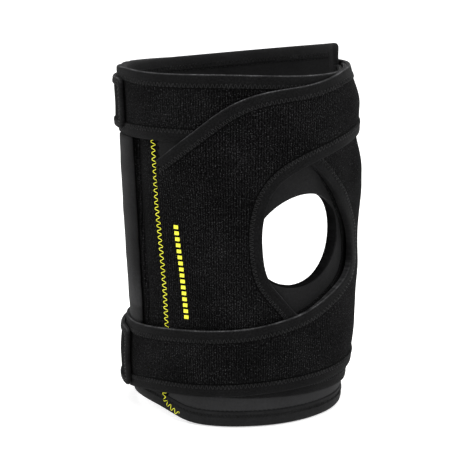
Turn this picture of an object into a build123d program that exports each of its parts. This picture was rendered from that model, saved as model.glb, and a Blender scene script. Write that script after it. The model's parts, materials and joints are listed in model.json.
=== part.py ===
"""Wrap-round knee brace for the right knee, open over the patella and behind the knee.

Millimetres, +Z up, standing on its bottom rim. -Y is the front (patella), -X the lateral side and
+X the medial side. The origin is on the leg's axis, level with the bottom rim.

Every sheet is wrapped round one cone, the outer face of the neoprene base. A sheet is given by its
offsets outwards from that face, its heights, and its angles round the leg, which start at the front
and grow towards the medial side. The brace bends at the knee, so each sheet that crosses the knee
is an upper (thigh) and a lower (calf) solid, and what only flexes is one solid.
"""

from build123d import *
import os
from math import cos, degrees, radians, sin, tan

# Driving dimensions
BOTTOM_RADIUS = 72.3  # outer radius of the base at its bottom rim
TAPER = 0.0444  # growth of that radius for each mm of height
BASE_THICKNESS = 3.5  # neoprene with jersey on both faces
KNEE_HEIGHT = 131  # height of the knee's axis
KNEE_GAP = 0.6  # split between the upper and lower solids
BEND_ALLOWANCE = 33  # half of the flexion, in degrees, that the lateral notch leaves room for

FRONT_TOP = 243  # top of the thigh front
FLAP_LOW = 192  # thigh flap, behind the leg
CALF_FLAP_TOP = 60
REAR_LATERAL = -115  # angle of the base's rear edges
REAR_MEDIAL = 82
FLAP_LATERAL = 360 + REAR_LATERAL
FLAP_TONGUE = 3  # degrees of thigh and calf flap that lie inside the medial edge
FLAP_RIM = Plane(origin=(0, 0, 251.4), z_dir=(-0.042, 0.095, 1))  # the flap's slanted top

PANEL = 1.6  # thickness of loop fabric
BINDING = 0.6  # thickness of one side of the binding tape
BINDING_WIDTH = 9
INNER_LAYER = 0.8  # offset of the loop sheets that lie on the base
OUTER_LAYER = 3.4  # offset of the sheets that cross over them
TAB_LAYER = 6.4  # offset of the lower tab, over both
MEDIAL_STANDOFF = 7  # the medial panel is held off the base by its stay

BAND_LOW, BAND_HIGH = 199, 243.5  # upper band and the wing behind the leg
STRAP_LOW, STRAP_HIGH = 22, 69  # lower strap behind the leg
TAB_END = -95  # both hook tabs end here, on the lateral side
UPPER_TAB_ROOT = -146  # where they start
LOWER_TAB_ROOT = -166
ROOT_GAP = 2  # degrees between a wing and its tab
UPPER_TAB_LOW, UPPER_TAB_HIGH = 207, 237
LOWER_TAB_LOW, LOWER_TAB_HIGH = 27, 57
TAB_CORNER = 6
HOOK = 0.6  # thickness of a hook patch

HOLE_X, HOLE_HEIGHT = 3.5, 130  # centre of the patella hole, seen from the front
HOLE_HALF_WIDTH, HOLE_HALF_HEIGHT, HOLE_TILT = 35, 32.2, 5
RING_WIDTH, RING_THICKNESS = 11, 3.6

STAY_LOW, STAY_HIGH = 22, 226
STAY_WIDTH, STAY_THICKNESS = 7, 1.5
STAY_ANGLES = {"lateral": -98, "medial": 71}
POCKET_DEPTH = 2.7
CAP_LENGTH = 5

SEAM_PITCH = 4.1  # the yellow zigzag
SEAM_WIDTH = 4.0
THREAD = 0.8

REACH = 150  # further out than any part
SIDE = 120  # stands for a point beside the leg

os.makedirs("parts", exist_ok=True)


def base_radius(height):
    return BOTTOM_RADIUS + TAPER * height


def radial_plane(angle):
    """Upright plane through the leg's axis, with x running outwards at this angle."""
    out = Vector(sin(radians(angle)), -cos(radians(angle)), 0)
    return Plane(origin=(0, 0, 0), x_dir=out, z_dir=out.cross(Vector(0, 0, 1)))


def facing_plane(angle):
    """Upright plane through the leg's axis, facing outwards at this angle."""
    out = Vector(sin(radians(angle)), -cos(radians(angle)), 0)
    return Plane(origin=(0, 0, 0), x_dir=Vector(0, 0, 1).cross(out), z_dir=out)


def seen(angle, height, view=0):
    """Where a point of the base's face lies on the facing plane of a view angle."""
    if abs(angle) == SIDE:
        return (angle, height)
    return (base_radius(height) * sin(radians(angle - view)), height)


def wrap_profile(profile, start, end, mode=Mode.ADD):
    """Turn a closed profile of (offset, height) points round the leg between two angles."""
    with BuildSketch(radial_plane(start)) as section:
        with BuildLine():
            Polyline([(base_radius(h) + offset, h) for offset, h in profile], close=True)
        make_face()
    revolve(section.sketch, axis=Axis.Z, revolution_arc=end - start, mode=mode)


def wrap(inner, outer, low, high, start, end, mode=Mode.ADD):
    """Wrap a plain sheet round the leg."""
    wrap_profile([(inner, low), (outer, low), (outer, high), (inner, high)], start, end, mode)


def outline_of(curves):
    """Closed outline, seen from the front, of smooth curves through (angle, height) points.

    A point at angle SIDE lies beside the leg, clear of it.
    """
    with BuildSketch(facing_plane(0)) as outline:
        with BuildLine():
            ends = []
            for points in curves:
                flat = [seen(a, h) for a, h in points]
                if ends and flat[0] != ends[-1]:
                    Line(ends[-1], flat[0])
                if len(flat) > 2:
                    Spline(*flat)
                else:
                    Line(*flat)
                ends += [flat[0], flat[-1]]
            if ends[-1] != ends[0]:
                Line(ends[-1], ends[0])
        make_face()
    return outline.sketch


def cut_to(outline, mode=Mode.INTERSECT):
    """Keep, or take away, what lies outwards of an outline on its facing plane."""
    extrude(outline, amount=REACH, mode=mode)


def trim_front(outline):
    """Take away what lies outside an outline in front of the leg, and leave the back alone."""
    with BuildSketch(facing_plane(0)) as waste:
        with Locations((0, KNEE_HEIGHT)):
            Rectangle(3 * REACH, 3 * REACH)
        add(outline, mode=Mode.SUBTRACT)
    extrude(waste.sketch, amount=REACH, mode=Mode.SUBTRACT)


def edge_strip(outline, edges):
    """The binding's width of an outline along each of the given edge curves."""
    with BuildSketch(facing_plane(0)) as strip:
        for points in edges:
            with BuildLine():
                Spline(*[seen(a, h) for a, h in points])
            trace(line_width=2 * BINDING_WIDTH)
        add(outline, mode=Mode.INTERSECT)
    return strip.sketch


def skin_of(profile, thickness):
    """Profile of a skin on the outer side of a (offset, height) line, rising."""
    return profile + [(offset + thickness, height) for offset, height in reversed(profile)]


def zigzag(points, pitch, width, thread, view):
    """Sewn zigzag of one thread along a line of (angle, height) points."""
    low, high = points[0][1], points[-1][1]
    count = round((high - low) / pitch * 2)
    path = []
    for i in range(count + 1):
        height = low + (high - low) * i / count
        angle = angle_at(points, height)
        x, y = seen(angle, height, view)
        path.append((x + (width / 2 if i % 2 else -width / 2), y))
    with BuildSketch(facing_plane(view)) as sewn:
        with BuildLine():
            Polyline(*path)
        trace(line_width=thread)
    return sewn.sketch


def angle_at(points, height):
    """Angle of a line of (angle, height) points at a height between them."""
    for (a0, h0), (a1, h1) in zip(points, points[1:]):
        if h0 <= height <= h1:
            return a0 + (a1 - a0) * (height - h0) / (h1 - h0)
    return points[-1][0]


def cut_knee(keep_upper):
    """Split a sheet at the knee: level in front of the axis, opening as a notch behind it."""
    side = 1 if keep_upper else -1
    edge = KNEE_HEIGHT + side * KNEE_GAP / 2
    slope = tan(radians(BEND_ALLOWANCE))
    with BuildSketch(Plane.YZ.offset(-REACH)) as half:
        with BuildLine():
            Polyline(
                (-REACH, edge),
                (0, edge),
                (REACH, edge + side * slope * REACH),
                (REACH, edge + side * 3 * REACH),
                (-REACH, edge + side * 3 * REACH),
                close=True,
            )
        make_face()
    extrude(half.sketch, amount=2 * REACH, mode=Mode.INTERSECT)


def hole_outline(grow=0):
    """The patella hole, seen from the front."""
    with BuildSketch(facing_plane(0)) as hole:
        with Locations((HOLE_X, HOLE_HEIGHT)):
            Ellipse(HOLE_HALF_WIDTH + grow, HOLE_HALF_HEIGHT + grow, rotation=HOLE_TILT)
    return hole.sketch


def stay_pockets():
    """Take the two stay pockets out of the base."""
    for angle in STAY_ANGLES.values():
        half = half_angle(STAY_WIDTH + 1)
        wrap(-POCKET_DEPTH, 1, STAY_LOW - 1, STAY_HIGH + 1, angle - half, angle + half, Mode.SUBTRACT)


def half_angle(width):
    """Half of the angle that a width takes at the knee."""
    return degrees(width / 2 / base_radius(KNEE_HEIGHT))


def save(piece, name):
    piece.part.label = name
    export_step(piece.part, f"parts/{name}.step")


# Outlines, as (angle, height) points

LATERAL_EDGE_UPPER = [(-72, 131), (-74, 165), (-75, 184)]
LATERAL_EDGE_LOWER = [(-71, 24), (-70, 84), (-72, 131)]
WING_TOP = [(-75, 184), (-67, 188), (-50, 207), (-34, 224), (-22, 231), (3, 236), (28, 243.5)]
WING_BOTTOM = [(80, 199), (44, 196), (17, 189), (0, 181.5), (-10, 175.5), (-18.5, 162), (-20.5, 131)]
PANEL_LOWER_EDGE = [(-20.5, 131), (-18.5, 114), (-13, 101), (-3, 90), (8, 79), (22, 70), (50, 67)]
LOWER_WING_BOTTOM = [(85, 20), (53, 19), (20, 20), (-40, 23), (-71, 24)]
MEDIAL_UPPER_EDGE = [(32, 131), (28, 143), (23, 157), (16, 169), (4, 183), (-10, 199)]
MEDIAL_LOWER_EDGE = [(-68, 69), (-43, 70.5), (-21, 73), (3, 80.5), (16, 86), (25, 94), (31, 107), (32, 131)]
STRAP_BOTTOM = [(85, 32), (53, 30.5), (19, 28), (-16, 26), (-54, 23.5), (-85, 22)]
SEAM_LINE = [(-75, 14), (-74, 20), (-70, 68), (-70, 98), (-72, 131), (-74, 165), (-75, 197)]
MARKS_LINE = [(-57.5, 78), (-62, 142)]


# Neoprene base

with BuildPart() as thigh_front:
    wrap(-BASE_THICKNESS, 0, KNEE_HEIGHT, FRONT_TOP, REAR_LATERAL, REAR_MEDIAL)
    cut_to(hole_outline(), Mode.SUBTRACT)
    stay_pockets()
    cut_knee(keep_upper=True)
save(thigh_front, "thigh_front")

with BuildPart() as calf_front:
    wrap(-BASE_THICKNESS, 0, BINDING, KNEE_HEIGHT, REAR_LATERAL, REAR_MEDIAL)
    cut_to(hole_outline(), Mode.SUBTRACT)
    stay_pockets()
    cut_knee(keep_upper=False)
save(calf_front, "calf_front")

with BuildPart() as knee_gusset:
    wrap(-BASE_THICKNESS, 0, KNEE_HEIGHT - 25, KNEE_HEIGHT + 25, REAR_LATERAL, -92)
    half = half_angle(STAY_WIDTH + 1)
    stay = STAY_ANGLES["lateral"]
    wrap(-POCKET_DEPTH, 1, STAY_LOW, STAY_HIGH, stay - half, stay + half, Mode.SUBTRACT)
    notch = tan(radians(BEND_ALLOWANCE)) * REACH
    with BuildSketch(Plane.YZ.offset(-REACH)) as wedge:
        with BuildLine():
            Polyline((2, KNEE_HEIGHT), (REACH, KNEE_HEIGHT + notch), (REACH, KNEE_HEIGHT - notch), close=True)
        make_face()
    extrude(wedge.sketch, amount=REACH, mode=Mode.INTERSECT)
save(knee_gusset, "knee_gusset")


def rear_flap(low, high):
    """Flap of the base behind the leg, with its free end inside the medial edge."""
    inside = -BASE_THICKNESS - 0.4
    wrap(-BASE_THICKNESS, 0, low, high, REAR_MEDIAL + 1, FLAP_LATERAL)
    wrap(inside - BASE_THICKNESS, 0, low, high, REAR_MEDIAL + 1, REAR_MEDIAL + 4)
    wrap(inside - BASE_THICKNESS, inside, low, high, REAR_MEDIAL - FLAP_TONGUE, REAR_MEDIAL + 4)


def between(low_plane, high_plane):
    """Keep what lies between two parallel planes."""
    split(bisect_by=low_plane, keep=Keep.TOP)
    split(bisect_by=high_plane, keep=Keep.BOTTOM)


with BuildPart() as thigh_flap:
    rear_flap(FLAP_LOW, 275)
    split(bisect_by=FLAP_RIM, keep=Keep.BOTTOM)
save(thigh_flap, "thigh_flap")

with BuildPart() as thigh_flap_binding:
    wrap(-BASE_THICKNESS - BINDING, BINDING, 225, 275, REAR_MEDIAL + 6, FLAP_LATERAL)
    between(FLAP_RIM.offset(-BINDING_WIDTH), FLAP_RIM.offset(BINDING))
    with BuildPart(mode=Mode.SUBTRACT):
        wrap(-BASE_THICKNESS, 0, 220, 275, REAR_MEDIAL + 5, FLAP_LATERAL + 1)
        split(bisect_by=FLAP_RIM, keep=Keep.BOTTOM)
save(thigh_flap_binding, "thigh_flap_binding")

with BuildPart() as calf_flap:
    rear_flap(BINDING, CALF_FLAP_TOP)
save(calf_flap, "calf_flap")

EDGE_FOLD = [
    (-BASE_THICKNESS - BINDING, 0),
    (BINDING, 0),
    (BINDING, BINDING_WIDTH),
    (0, BINDING_WIDTH),
    (0, BINDING),
    (-BASE_THICKNESS, BINDING),
    (-BASE_THICKNESS, BINDING_WIDTH),
    (-BASE_THICKNESS - BINDING, BINDING_WIDTH),
]  # binding tape folded round a bottom edge


with BuildPart() as calf_front_binding:
    wrap_profile(EDGE_FOLD, REAR_LATERAL, REAR_MEDIAL - FLAP_TONGUE - 1)
save(calf_front_binding, "calf_front_binding")

with BuildPart() as calf_flap_binding:
    wrap_profile(EDGE_FOLD, REAR_MEDIAL + 5, FLAP_LATERAL)
save(calf_flap_binding, "calf_flap_binding")


# Patella ring, sewn behind the edge of the hole

with BuildPart() as patella_ring:
    inner = -BASE_THICKNESS - 0.3
    wrap(inner - RING_THICKNESS, inner, KNEE_HEIGHT - 60, KNEE_HEIGHT + 60, -60, 60)
    cut_to(hole_outline(RING_WIDTH), Mode.INTERSECT)
    cut_to(hole_outline(-1), Mode.SUBTRACT)
save(patella_ring, "patella_ring")


# Lateral loop panel. Its upper wing crosses over the medial band, and its lower wing goes under the
# medial strap.

BASE_SIDE = [(INNER_LAYER, KNEE_HEIGHT), (INNER_LAYER, 165), (OUTER_LAYER, 171), (OUTER_LAYER, BAND_HIGH)]

lateral_upper = outline_of(
    [LATERAL_EDGE_UPPER, WING_TOP, [(SIDE, BAND_HIGH), (SIDE, BAND_LOW)], WING_BOTTOM]
)

with BuildPart() as lateral_upper_panel:
    wrap_profile(skin_of(BASE_SIDE, PANEL), -86, 360 + UPPER_TAB_ROOT - ROOT_GAP)
    trim_front(lateral_upper)
    wrap(-1, 2 * OUTER_LAYER, KNEE_HEIGHT - 5, BAND_LOW, 89.9, 250, Mode.SUBTRACT)
    cut_knee(keep_upper=True)
save(lateral_upper_panel, "lateral_upper_panel")

lateral_lower = outline_of(
    [LATERAL_EDGE_LOWER, PANEL_LOWER_EDGE, [(SIDE, 67), (SIDE, 20)], LOWER_WING_BOTTOM]
)

with BuildPart() as lateral_lower_panel:
    wrap(INNER_LAYER, INNER_LAYER + PANEL, 15, KNEE_HEIGHT, -86, 360 + LOWER_TAB_ROOT - ROOT_GAP)
    trim_front(lateral_lower)
    wrap(-1, 2 * OUTER_LAYER, 67, KNEE_HEIGHT + 5, 89.9, 250, Mode.SUBTRACT)
    wrap(-1, 2 * OUTER_LAYER, 10, 20, 89.9, 250, Mode.SUBTRACT)
    cut_knee(keep_upper=False)
save(lateral_lower_panel, "lateral_lower_panel")


# Medial loop panel, held off the base beside the hole

UPPER_BULGE = [(MEDIAL_STANDOFF, KNEE_HEIGHT), (MEDIAL_STANDOFF, 163), (INNER_LAYER, 180), (INNER_LAYER, BAND_HIGH)]
LOWER_BULGE = [(OUTER_LAYER, 18), (OUTER_LAYER, 82), (MEDIAL_STANDOFF, 99), (MEDIAL_STANDOFF, KNEE_HEIGHT)]

medial_upper = outline_of(
    [MEDIAL_UPPER_EDGE, [(-SIDE, BAND_LOW), (-SIDE, BAND_HIGH)], [(SIDE, BAND_HIGH), (SIDE, KNEE_HEIGHT)]]
)

with BuildPart() as medial_upper_panel:
    wrap_profile(skin_of(UPPER_BULGE, PANEL), -170, REAR_MEDIAL)
    trim_front(medial_upper)
    wrap(-1, 3 * OUTER_LAYER, KNEE_HEIGHT - 5, BAND_LOW, -175, -89.9, Mode.SUBTRACT)
    cut_knee(keep_upper=True)
save(medial_upper_panel, "medial_upper_panel")

medial_lower = outline_of(
    [
        MEDIAL_LOWER_EDGE,
        [(SIDE, KNEE_HEIGHT), (SIDE, 32)],
        STRAP_BOTTOM,
        [(-SIDE, 22), (-SIDE, STRAP_HIGH)],
    ]
)

with BuildPart() as medial_lower_panel:
    wrap_profile(skin_of(LOWER_BULGE, PANEL), LOWER_TAB_ROOT + 2, REAR_MEDIAL)
    trim_front(medial_lower)
    wrap(-1, 3 * OUTER_LAYER, STRAP_HIGH, KNEE_HEIGHT + 5, -175, -89.9, Mode.SUBTRACT)
    wrap(-1, 3 * OUTER_LAYER, 10, STRAP_LOW, -175, -89.9, Mode.SUBTRACT)
    cut_knee(keep_upper=False)
save(medial_lower_panel, "medial_lower_panel")


# Hook tabs, at the ends of the lateral wings


def tab(inner, outer, low, high, root, inset=0):
    """Curved tab with rounded corners at its free end."""
    middle = (root + TAB_END) / 2
    length = (base_radius(low) + outer) * sin(radians((TAB_END - root) / 2))
    wrap(inner, outer, low + inset, high - inset, root, TAB_END + 3)
    with BuildSketch(facing_plane(middle)) as end:
        with Locations((-inset, (low + high) / 2)):
            RectangleRounded(2 * length, high - low - 2 * inset, TAB_CORNER - inset)
        with Locations((-length, (low + high) / 2)):
            Rectangle(length, high - low - 2 * inset)
    extrude(end.sketch, amount=REACH, mode=Mode.INTERSECT)


with BuildPart() as upper_tab:
    tab(OUTER_LAYER + HOOK, OUTER_LAYER + HOOK + PANEL, UPPER_TAB_LOW, UPPER_TAB_HIGH, UPPER_TAB_ROOT)
save(upper_tab, "upper_tab")

with BuildPart() as upper_hook:
    tab(OUTER_LAYER, OUTER_LAYER + HOOK, UPPER_TAB_LOW, UPPER_TAB_HIGH, UPPER_TAB_ROOT + 22, inset=3)
save(upper_hook, "upper_hook")

with BuildPart() as lower_tab:
    tab(TAB_LAYER + HOOK, TAB_LAYER + HOOK + PANEL, LOWER_TAB_LOW, LOWER_TAB_HIGH, LOWER_TAB_ROOT)
save(lower_tab, "lower_tab")

with BuildPart() as lower_hook:
    tab(TAB_LAYER, TAB_LAYER + HOOK, LOWER_TAB_LOW, LOWER_TAB_HIGH, LOWER_TAB_ROOT + 38, inset=3)
save(lower_hook, "lower_hook")


# Binding tape on the edges of the loop panels

WING_FACE = [(offset + PANEL, height) for offset, height in BASE_SIDE]

with BuildPart() as lateral_upper_binding:
    wrap_profile(skin_of(WING_FACE, BINDING), -86, 89)
    cut_to(edge_strip(lateral_upper, [WING_TOP, WING_BOTTOM]))
    cut_knee(keep_upper=True)
save(lateral_upper_binding, "lateral_upper_binding")

with BuildPart() as lateral_lower_binding:
    face = INNER_LAYER + PANEL
    wrap(face, face + BINDING, 85, KNEE_HEIGHT, -60, 60)
    cut_to(edge_strip(lateral_lower, [PANEL_LOWER_EDGE]))
    cut_knee(keep_upper=False)
save(lateral_lower_binding, "lateral_lower_binding")

BULGE_FACE = [(offset + PANEL, height) for offset, height in LOWER_BULGE]

with BuildPart() as medial_lower_binding:
    wrap_profile(skin_of(BULGE_FACE, BINDING), -89, REAR_MEDIAL)
    cut_to(edge_strip(medial_lower, [MEDIAL_LOWER_EDGE, STRAP_BOTTOM]))
    cut_knee(keep_upper=False)
save(medial_lower_binding, "medial_lower_binding")

MEDIAL_FACE = [(offset + PANEL, height) for offset, height in UPPER_BULGE]

with BuildPart() as medial_upper_binding:
    wrap_profile(skin_of(MEDIAL_FACE, BINDING), 0, 60)
    cut_to(edge_strip(medial_upper, [MEDIAL_UPPER_EDGE]))
    wrap(-1, 3 * OUTER_LAYER, 176, BAND_HIGH, -20, 60, Mode.SUBTRACT)
    cut_knee(keep_upper=True)
save(medial_upper_binding, "medial_upper_binding")

with BuildPart() as band_binding:
    face = INNER_LAYER + PANEL
    wrap(face, face + BINDING, BAND_LOW, BAND_HIGH, -170, -12)
    wrap(face - 1, face + 1, BAND_LOW + BINDING_WIDTH, BAND_HIGH - BINDING_WIDTH, -160, 0, Mode.SUBTRACT)
save(band_binding, "band_binding")


# Spiral stays in padded channels, whole, because they flex with the knee


def stay_channel(angle, low, high, height, half_width):
    """Cover of a stay: it fills the top of the pocket, and stands proud between two heights."""
    half = half_angle(STAY_WIDTH + 1)
    wrap(-0.6, 0, STAY_LOW - 1, STAY_HIGH + 1, angle - half, angle + half)
    wrap(0, height, low, high, angle - half_angle(half_width * 2), angle + half_angle(half_width * 2))


with BuildPart() as lateral_channel:
    stay_channel(STAY_ANGLES["lateral"], 73, 195, 3.4, 11)
save(lateral_channel, "lateral_channel")

with BuildPart() as medial_channel:
    stay_channel(STAY_ANGLES["medial"], 99, 162, 6.5, 11)
save(medial_channel, "medial_channel")


def spiral_stay(angle):
    """Flattened spiral: a zigzag wire in the pocket, without its end caps."""
    outer = -POCKET_DEPTH + 0.3 + STAY_THICKNESS
    line = [(angle, STAY_LOW + CAP_LENGTH - 1), (angle, STAY_HIGH - CAP_LENGTH + 1)]
    half = half_angle(STAY_WIDTH)
    wrap(outer - STAY_THICKNESS, outer, STAY_LOW, STAY_HIGH, angle - half, angle + half)
    cut_to(zigzag(line, 4.0, STAY_WIDTH - 1.6, 1.5, angle))


def stay_cap(angle, low):
    """Rounded metal cap on one end of a stay."""
    outer = -POCKET_DEPTH + 0.2 + STAY_THICKNESS + 0.2
    half = half_angle(STAY_WIDTH)
    wrap(outer - STAY_THICKNESS - 0.2, outer, low, low + CAP_LENGTH - 1, angle - half, angle + half)


for side, angle in STAY_ANGLES.items():
    with BuildPart() as stay_wire:
        spiral_stay(angle)
        wrap(-POCKET_DEPTH - 1, 1, STAY_LOW, STAY_LOW + CAP_LENGTH, angle - 5, angle + 5, Mode.SUBTRACT)
        wrap(-POCKET_DEPTH - 1, 1, STAY_HIGH - CAP_LENGTH, STAY_HIGH, angle - 5, angle + 5, Mode.SUBTRACT)
    save(stay_wire, f"{side}_stay")

with BuildPart() as upper_stay_caps:
    for angle in STAY_ANGLES.values():
        stay_cap(angle, STAY_HIGH - CAP_LENGTH + 0.5)
save(upper_stay_caps, "upper_stay_caps")

with BuildPart() as lower_stay_caps:
    for angle in STAY_ANGLES.values():
        stay_cap(angle, STAY_LOW)
save(lower_stay_caps, "lower_stay_caps")


# Yellow zigzag seam and printed bars on the lateral panel

with BuildPart() as yellow_seam:
    wrap(INNER_LAYER + PANEL + 0.1, INNER_LAYER + PANEL + 0.8, 71, 169, -85, -55)
    cut_to(zigzag([(a, h) for a, h in SEAM_LINE if 68 <= h <= 165], SEAM_PITCH, SEAM_WIDTH, THREAD, -72))
save(yellow_seam, "yellow_seam")

with BuildPart() as printed_bars:
    wrap(INNER_LAYER + PANEL, INNER_LAYER + PANEL + 0.3, 74, 150, -75, -45)
    with BuildSketch(facing_plane(-60)) as bars:
        for i in range(16):
            height = 78 + 4.1 * i
            with Locations(seen(angle_at(MARKS_LINE, height), height, -60)):
                Rectangle(3.9, 2.6)
    extrude(bars.sketch, amount=REACH, mode=Mode.INTERSECT)
save(printed_bars, "printed_bars")
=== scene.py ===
"""Looks of the wrap-round knee brace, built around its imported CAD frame.

Lengths in the script are millimetres until a mesh is made. Every sheet is laid out in one flat
pattern: x is the way round the leg at REF_RADIUS, growing towards the medial side from the front,
and y is the height. A sheet's offset is measured outwards from the outer face of the neoprene.
"""

import json
import math

import bpy
import numpy as np
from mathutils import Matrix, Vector
from mathutils.geometry import delaunay_2d_cdt


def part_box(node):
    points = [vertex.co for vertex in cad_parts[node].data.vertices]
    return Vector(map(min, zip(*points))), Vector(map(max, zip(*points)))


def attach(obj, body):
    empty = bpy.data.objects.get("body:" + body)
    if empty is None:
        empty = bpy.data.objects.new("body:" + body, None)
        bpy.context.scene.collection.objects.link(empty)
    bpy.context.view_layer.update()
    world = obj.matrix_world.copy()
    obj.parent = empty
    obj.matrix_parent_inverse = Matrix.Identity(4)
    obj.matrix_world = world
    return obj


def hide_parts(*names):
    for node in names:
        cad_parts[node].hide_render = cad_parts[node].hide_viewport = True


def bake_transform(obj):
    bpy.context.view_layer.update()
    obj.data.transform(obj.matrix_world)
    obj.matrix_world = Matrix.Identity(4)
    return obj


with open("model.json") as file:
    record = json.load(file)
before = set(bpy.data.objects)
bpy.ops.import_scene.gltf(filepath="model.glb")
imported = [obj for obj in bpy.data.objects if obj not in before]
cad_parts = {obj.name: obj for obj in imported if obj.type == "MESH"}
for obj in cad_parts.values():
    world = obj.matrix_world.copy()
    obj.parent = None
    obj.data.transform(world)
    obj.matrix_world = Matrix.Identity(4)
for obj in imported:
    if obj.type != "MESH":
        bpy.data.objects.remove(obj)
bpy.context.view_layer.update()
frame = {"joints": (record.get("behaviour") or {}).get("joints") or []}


def top_of(node):
    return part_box(node)[1].z * 1000


def foot_of(node):
    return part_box(node)[0].z * 1000


# Dimensions shared with the CAD frame

MM = 0.001
REF_RADIUS = 78.0
BOTTOM_RADIUS = 72.3
TAPER = 0.0444
KNEE = next(j for j in frame["joints"] if j["name"] == "knee_flexion")["pos_m"][2] * 1000
FRONT_TOP = top_of("thigh_front")
BAND_LOW, BAND_HIGH = foot_of("band_binding"), top_of("band_binding")
CALF_FLAP_TOP = top_of("calf_flap")
THIGH_FLAP_LOW = foot_of("thigh_flap")

NEOPRENE, PANEL, TAPE = 3.5, 1.6, 0.6  # thicknesses of the base, the loop panels and the binding tape
TAPE_WIDTH, TAPE_PUFF = 9.0, 0.25
REAR_LATERAL = -115
REAR_MEDIAL = 79
FLAP_END = 80.5 - 360  # the flaps run on behind the leg, to inside the medial edge
# The medial side swells low down and leans in at the top, and so does the lateral rear, but less
MEDIAL_ANGLE, CALF_FLARE, THIGH_LEAN = 54, 6.0, 10.0
REAR_ANGLE, REAR_SWELL, REAR_LEAN = -121, 3.0, 1.4
STITCH_PITCH, STITCH_WIDTH, THREAD = 2.8, 2.7, 0.52
THREAD_STEP = 0.4  # between the points of a zigzag thread
THREAD_RISE = 0.22  # height of a stitch's middle above its tape
PATTERN_SCALE = 100  # millimetres of flat pattern in one unit of UV
HOLE_BEVEL = 0.5
RIM_TURNS = (60, 30, 5, -5, -30, -60)  # degrees round a sheet's rounded rim, from its face to its back


# Flat pattern


def flat(points):
    """(angle in degrees, height) points in the flat pattern."""
    points = np.array(points, float)
    return np.stack([np.radians(points[:, 0]) * REF_RADIUS, points[:, 1]], 1)


def angle_of(x):
    return np.degrees(np.asarray(x) / REF_RADIUS)


def on_leg(x, height, offset):
    """Points in metres round the leg, from the flat pattern and offsets."""
    turn, height = np.asarray(x) / REF_RADIUS, np.asarray(height)
    medial = np.clip(np.cos(turn - math.radians(MEDIAL_ANGLE)), 0, 1) ** 4
    flare = CALF_FLARE * (1 - step_up(height, 50, 190)) * (0.6 + 0.4 * step_up(height, 22, 62))
    lean = THIGH_LEAN * step_up(height, 216, FRONT_TOP + 8)
    rear = np.clip(np.cos(turn - math.radians(REAR_ANGLE)), 0, 1) ** 6
    swell = REAR_SWELL * (1 - step_up(height, 34, 66)) - REAR_LEAN * step_up(height, 190, 220)
    radius = BOTTOM_RADIUS + TAPER * height + offset + medial * (flare - lean * medial) + rear * swell
    return np.stack([radius * np.sin(turn), -radius * np.cos(turn), height], -1) * MM


def lengths(path):
    """Distance along a line to each of its points."""
    return np.concatenate([[0], np.cumsum(np.hypot(*np.diff(path, axis=0).T))])


def smooth(points, step=2.0):
    """A smooth curve through (angle, height) points, as flat-pattern points about a step apart."""
    knots = flat(points)
    along = lengths(knots)
    gaps = np.diff(along)
    slopes = np.diff(knots, axis=0) / gaps[:, None]
    system, turns = np.eye(len(knots)), np.zeros_like(knots)
    for i in range(1, len(knots) - 1):
        system[i, i - 1 : i + 2] = gaps[i - 1], 2 * (gaps[i - 1] + gaps[i]), gaps[i]
        turns[i] = 6 * (slopes[i] - slopes[i - 1])
    bend = np.linalg.solve(system, turns)
    at = np.linspace(0, along[-1], max(2, round(along[-1] / step) + 1))
    k = np.clip(np.searchsorted(along, at, "right") - 1, 0, len(gaps) - 1)
    b = ((at - along[k]) / gaps[k])[:, None]
    a = 1 - b
    curve = a * knots[k] + b * knots[k + 1]
    return curve + ((a**3 - a) * bend[k] + (b**3 - b) * bend[k + 1]) * gaps[k][:, None] ** 2 / 6


def rounded(points, radius, step=1.5):
    """Straight runs through (angle, height) points, with round corners of one radius."""
    corners = flat(points)
    path = [corners[:1]]
    for before, corner, after in zip(corners, corners[1:], corners[2:]):
        into = (corner - before) / np.hypot(*(corner - before))
        out = (after - corner) / np.hypot(*(after - corner))
        u = np.linspace(0, 1, 9)[:, None]
        start, end = corner - into * radius, corner + out * radius
        path.append((1 - u) ** 2 * start + 2 * u * (1 - u) * corner + u**2 * end)
    path.append(corners[-1:])
    return resampled(np.concatenate(path), step)


def resampled(path, step):
    """The same line with its points about a step apart."""
    along = lengths(path)
    at = np.linspace(0, along[-1], max(2, round(along[-1] / step) + 1))
    return np.stack([np.interp(at, along, path[:, i]) for i in (0, 1)], 1)


def upright(angle, start, end, step=1.5):
    """A straight run up or down the pattern, between two heights at one angle."""
    return resampled(flat([(angle, start), (angle, end)]), step)


def closed(*curves, softness=2.4, step=1.6):
    """One closed outline from curves laid end to end, with its corners worn round."""
    line = np.concatenate([*curves, curves[0][:1]])
    line = resampled(line, step)[:-1]
    reach = np.arange(-6, 7)
    weights = np.exp(-((reach * step / softness) ** 2) / 2)
    return sum(w * np.roll(line, -r, 0) for w, r in zip(weights / weights.sum(), reach))


def area_of(loop):
    """Area inside a loop, negative if it runs clockwise."""
    x, y = loop.T
    return 0.5 * np.sum(x * np.roll(y, -1) - np.roll(x, -1) * y)


def inwards(loop, is_closed=False):
    """Unit normals to the left of a line."""
    if is_closed:
        run = np.roll(loop, -1, 0) - np.roll(loop, 1, 0)
    else:
        run = np.gradient(loop, axis=0)
    run = run / np.maximum(np.hypot(*run.T), 1e-9)[:, None]
    return np.stack([-run[:, 1], run[:, 0]], 1)


def inside(points, loops):
    """Which points lie inside the outline, counted by crossings."""
    found = np.zeros(len(points), bool)
    for loop in loops:
        for (x0, y0), (x1, y1) in zip(loop, np.roll(loop, -1, 0)):
            if y0 != y1:
                crosses = (points[:, 1] > y0) != (points[:, 1] > y1)
                found ^= crosses & (points[:, 0] < (x1 - x0) * (points[:, 1] - y0) / (y1 - y0) + x0)
    return found


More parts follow.
